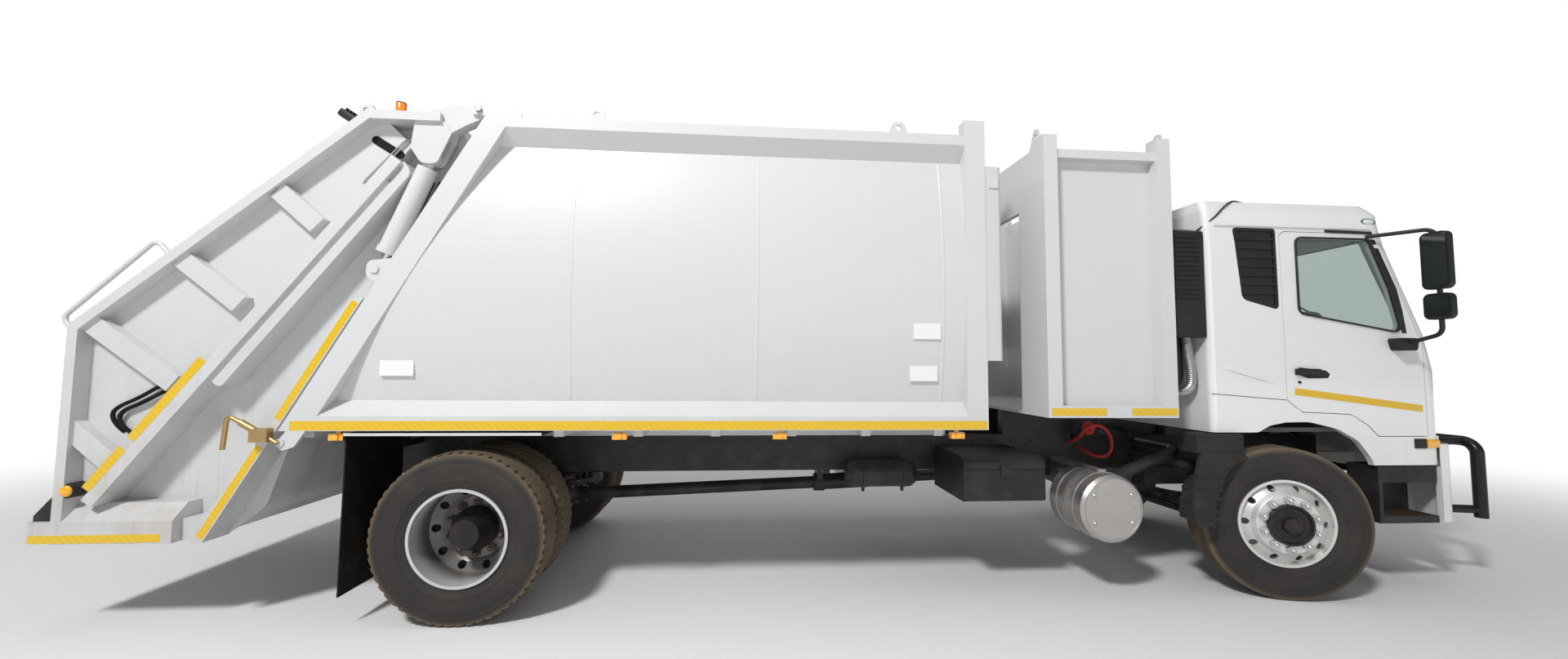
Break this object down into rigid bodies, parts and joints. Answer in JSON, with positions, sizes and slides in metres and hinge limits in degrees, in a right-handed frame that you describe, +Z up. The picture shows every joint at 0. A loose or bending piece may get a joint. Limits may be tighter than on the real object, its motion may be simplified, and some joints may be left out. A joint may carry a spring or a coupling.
{
  "type": "garbage truck",
  "caption": "Rear-loading garbage truck with a day cab, a bin box, a load body, a tilting tailgate with its packer, opening doors and steered wheels.",
  "frame": {"origin": "on the ground, under the middle of the truck's whole length and width", "axes": "+X ahead, +Y to the truck's left, +Z up"},
  "size_m": [9.68, 2.94, 3.289],
  "materials": {
    "cab_white": "gloss",
    "body_grey": "gloss",
    "chassis_black": "satin",
    "axle_iron": "satin",
    "window_glass": "gloss",
    "tyre_rubber": "matte",
    "rim_silver": "satin",
    "black_plastic": "matte",
    "dark_trim": "matte",
    "seat_cloth": "matte",
    "lamp_amber": "gloss",
    "lamp_red": "gloss",
    "bare_steel": "satin",
    "brass_handle": "satin",
    "tank_grey": "satin"
  },
  "bodies": {
    "truck": {"chassis_frame": "chassis_black", "front_axle": "axle_iron", "rear_axle": "axle_iron", "leaf_springs": "axle_iron", "engine": "tank_grey", "prop_shaft": "chassis_black", "air_tank": "chassis_black", "battery_box": "black_plastic", "silencer": "bare_steel", "exhaust_pipe": "chassis_black", "fuel_tank": "tank_grey", "mudguards": "black_plastic", "marker_lamps": "lamp_amber", "bumper": "cab_white", "bull_bar": "chassis_black", "cab_steps": "black_plastic", "cab_floor": "dark_trim", "cab_back_wall": "cab_white", "cab_sides": "cab_white", "cab_roof": "cab_white", "cab_front_panel": "cab_white", "windscreen": "window_glass", "quarter_louvres": "black_plastic", "dashboard": "dark_trim", "seats": "seat_cloth", "air_intake": "black_plastic", "body_floor": "body_grey", "body_roof": "body_grey", "body_front_wall": "body_grey", "body_rear_frame": "body_grey", "bin_box": "body_grey", "body_side_right": "body_grey", "body_side_left": "body_grey"},
    "tailgate": {"tailgate_side_right": "body_grey", "tailgate_side_left": "body_grey", "tailgate_hood": "body_grey", "hopper_pan": "body_grey", "tailgate_clamps": "brass_handle", "tail_lamps": "lamp_red"},
    "packer_carriage": {"packer_carriage": "body_grey"},
    "packer_blade": {"packer_blade": "body_grey"},
    "lift_cylinders": {"lift_cylinders": "body_grey"},
    "lift_rods": {"lift_rods": "bare_steel"},
    "tie_rod": {"tie_rod": "axle_iron"},
    "door_right": {"door_right": "cab_white", "door_glass_right": "window_glass", "mirror_right": "black_plastic"},
    "knuckle_right": {"knuckle_right": "axle_iron"},
    "front_wheel_right": {"front_tyre_right": "tyre_rubber", "front_rim_right": "rim_silver"},
    "rear_wheels_right": {"rear_tyres_right": "tyre_rubber", "rear_rims_right": "rim_silver"},
    "door_left": {"door_left": "cab_white", "door_glass_left": "window_glass", "mirror_left": "black_plastic"},
    "knuckle_left": {"knuckle_left": "axle_iron"},
    "front_wheel_left": {"front_tyre_left": "tyre_rubber", "front_rim_left": "rim_silver"},
    "rear_wheels_left": {"rear_tyres_left": "tyre_rubber", "rear_rims_left": "rim_silver"}
  },
  "joints": [
    {"name": "tailgate_lift", "type": "hinge", "parent": "truck", "child": "tailgate", "pos_m": [-2.44, 0, 3.22], "axis": [0, 1, 0], "range_deg": [0, 75]},
    {"name": "lift_cylinder_swing", "type": "hinge", "parent": "tailgate", "child": "lift_cylinders", "pos_m": [-2.74, 0, 2.91], "axis": [0, 1, 0], "range_deg": [-88, 0]},
    {"name": "lift_rod_slide", "type": "slide", "parent": "lift_cylinders", "child": "lift_rods", "axis": [-0.3692, 0, -0.9294], "range_m": [0, 0.49]},
    {"name": "packer_slide", "type": "slide", "parent": "tailgate", "child": "packer_carriage", "axis": [-0.6057, 0, -0.7957], "range_m": [0, 0.5]},
    {"name": "packer_swing", "type": "hinge", "parent": "packer_carriage", "child": "packer_blade", "pos_m": [-3.76105, 0, 1.77677], "axis": [0, 1, 0], "range_deg": [0, 85]},
    {"name": "door_right_hinge", "type": "hinge", "parent": "truck", "child": "door_right", "pos_m": [4.258, -1.115, 1.8], "axis": [0, 0, 1], "range_deg": [0, 70]},
    {"name": "door_left_hinge", "type": "hinge", "parent": "truck", "child": "door_left", "pos_m": [4.258, 1.115, 1.8], "axis": [0, 0, -1], "range_deg": [0, 70]},
    {"name": "steer_right", "type": "hinge", "parent": "truck", "child": "knuckle_right", "pos_m": [3.15, -0.86, 0.525], "axis": [0, 0, 1], "range_deg": [-22, 54]},
    {"name": "steer_left", "type": "hinge", "parent": "truck", "child": "knuckle_left", "pos_m": [3.15, 0.86, 0.525], "axis": [0, 0, 1], "range_deg": [-22, 54]},
    {"name": "tie_rod_slide", "type": "slide", "parent": "truck", "child": "tie_rod", "axis": [0, 1, 0], "range_m": [-0.17, 0.08]},
    {"name": "spin_front_right", "type": "hinge", "parent": "knuckle_right", "child": "front_wheel_right", "pos_m": [3.15, -0.86, 0.525], "axis": [0.2756, 0.9613, 0], "continuous": true},
    {"name": "spin_front_left", "type": "hinge", "parent": "knuckle_left", "child": "front_wheel_left", "pos_m": [3.15, 0.86, 0.525], "axis": [0.2756, 0.9613, 0], "continuous": true},
    {"name": "spin_rear_right", "type": "hinge", "parent": "truck", "child": "rear_wheels_right", "pos_m": [-2.46, -0.93, 0.525], "axis": [0, 1, 0], "continuous": true},
    {"name": "spin_rear_left", "type": "hinge", "parent": "truck", "child": "rear_wheels_left", "pos_m": [-2.46, 0.93, 0.525], "axis": [0, 1, 0], "continuous": true}
  ],
  "couplings": [
    {"joint": "lift_cylinder_swing", "follows": "tailgate_lift", "ratio": -1.16},
    {"joint": "lift_rod_slide", "follows": "tailgate_lift", "m_per_rad": 0.368},
    {"joint": "steer_left", "follows": "steer_right", "ratio": 1},
    {"joint": "tie_rod_slide", "follows": "steer_right", "m_per_rad": -0.178}
  ]
}
